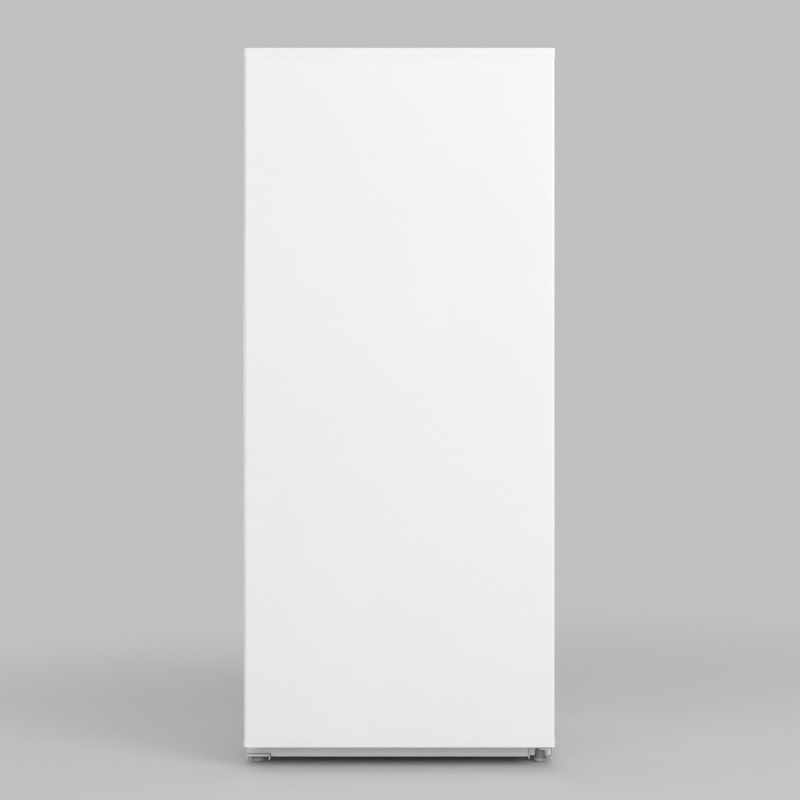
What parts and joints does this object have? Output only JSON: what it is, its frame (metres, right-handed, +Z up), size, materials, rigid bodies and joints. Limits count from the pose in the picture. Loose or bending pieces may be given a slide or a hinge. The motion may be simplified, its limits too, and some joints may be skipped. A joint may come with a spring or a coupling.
{
  "type": "upright freezer",
  "caption": "Tall upright freezer with a full-height door on its right side, glass shelves, a drawer and door bins inside, and a compressor low at the back.",
  "frame": {"origin": "centre of the bounding box's base, on the floor", "axes": "+X to the freezer's right seen from the front, -Y out of the door, +Z up"},
  "size_m": [0.8324, 0.737, 1.928],
  "materials": {
    "white_paint": "smooth gloss powder coat on sheet steel",
    "white_plastic": "moulded, light gloss",
    "liner_plastic": "vacuum-formed sheet, soft gloss",
    "grey_plastic": "moulded, fine texture",
    "grey_steel": "grey coated pressed steel",
    "zinc_steel": "zinc-plated sheet steel",
    "black_paint": "black enamel",
    "black_plastic": "moulded, matt",
    "foam": "closed-cell polyurethane foam",
    "gasket": "soft extruded seal with a magnet strip inside",
    "clear_plastic": "clear moulded polystyrene",
    "glass": "toughened flat glass",
    "aluminium": "bare, mill finish",
    "copper": "drawn copper tube"
  },
  "bodies": {
    "cabinet": {"cabinet_wrapper": "white_paint", "cabinet_back_panel": "zinc_steel", "cabinet_bottom_panel": "zinc_steel", "cabinet_foam": "foam", "inner_liner": "liner_plastic", "base_rail_left": "zinc_steel", "base_rail_right": "zinc_steel", "compressor_tray": "zinc_steel", "kickplate": "grey_plastic", "front_foot_bracket": "grey_steel", "bottom_hinge_bracket": "grey_steel", "bottom_hinge_pin": "zinc_steel", "top_hinge_plate": "zinc_steel", "top_hinge_pin": "zinc_steel", "top_hinge_cover": "white_plastic", "evaporator_cover": "liner_plastic", "evaporator_fins": "aluminium", "evaporator_tube": "aluminium", "defrost_heater": "zinc_steel", "evaporator_fan_motor": "zinc_steel", "control_housing": "white_plastic", "lamp_lens": "clear_plastic", "compressor": "black_paint", "compressor_terminal_cover": "black_plastic", "suction_line": "copper", "condenser_loop": "copper", "drier_filter": "copper", "drain_tube": "grey_plastic", "evaporation_pan": "black_plastic", "machine_room_cover": "zinc_steel", "cord_gland": "black_plastic", "shelf_frame_1": "white_plastic", "shelf_glass_1": "glass", "shelf_frame_2": "white_plastic", "shelf_glass_2": "glass", "shelf_frame_3": "white_plastic", "shelf_glass_3": "glass", "shelf_frame_4": "white_plastic", "shelf_glass_4": "glass"},
    "door": {"door_skin": "white_paint", "door_top_cap": "white_plastic", "door_bottom_cap": "white_plastic", "door_foam": "foam", "door_liner": "liner_plastic", "door_gasket": "gasket", "door_handle_pocket": "white_plastic", "hinge_bushing_top": "grey_plastic", "hinge_bushing_bottom": "grey_plastic", "door_bin_1": "clear_plastic", "door_bin_2": "clear_plastic", "door_bin_3": "clear_plastic", "door_bin_4": "clear_plastic", "door_bin_5": "clear_plastic"},
    "drawer": {"freezer_drawer": "clear_plastic"},
    "knob": {"temperature_knob": "grey_plastic"},
    "fan": {"evaporator_fan_blade": "black_plastic"},
    "foot_left": {"front_foot_left": "grey_plastic"},
    "foot_right": {"front_foot_right": "grey_plastic"},
    "roller_left": {"rear_roller_left": "black_plastic"},
    "roller_right": {"rear_roller_right": "black_plastic"}
  },
  "joints": [
    {"name": "door_hinge", "type": "hinge", "parent": "cabinet", "child": "door", "pos_m": [0.392, -0.3395, 0.9], "axis": [0, 0, 1], "range_deg": [0, 125]},
    {"name": "drawer_slide", "type": "slide", "parent": "cabinet", "child": "drawer", "axis": [0, -1, 0], "range_m": [0, 0.17]},
    {"name": "knob_turn", "type": "hinge", "parent": "cabinet", "child": "knob", "pos_m": [0.085, -0.1588, 1.8237], "axis": [0, -1, 0], "range_deg": [-270, 0]},
    {"name": "fan_spin", "type": "hinge", "parent": "cabinet", "child": "fan", "pos_m": [0, 0.24, 0.8], "axis": [0, 1, 0], "continuous": true},
    {"name": "foot_left_level", "type": "slide", "parent": "cabinet", "child": "foot_left", "axis": [0, 0, -1], "range_m": [0, 0.015]},
    {"name": "roller_left_spin", "type": "hinge", "parent": "cabinet", "child": "roller_left", "pos_m": [-0.3997, 0.3265, 0.02], "axis": [1, 0, 0], "continuous": true},
    {"name": "foot_right_level", "type": "slide", "parent": "cabinet", "child": "foot_right", "axis": [0, 0, -1], "range_m": [0, 0.015]},
    {"name": "roller_right_spin", "type": "hinge", "parent": "cabinet", "child": "roller_right", "pos_m": [0.3997, 0.3265, 0.02], "axis": [1, 0, 0], "continuous": true}
  ],
  "couplings": [
    {"joint": "drawer_slide", "follows": "door_hinge", "m_per_rad": 0.0773}
  ]
}
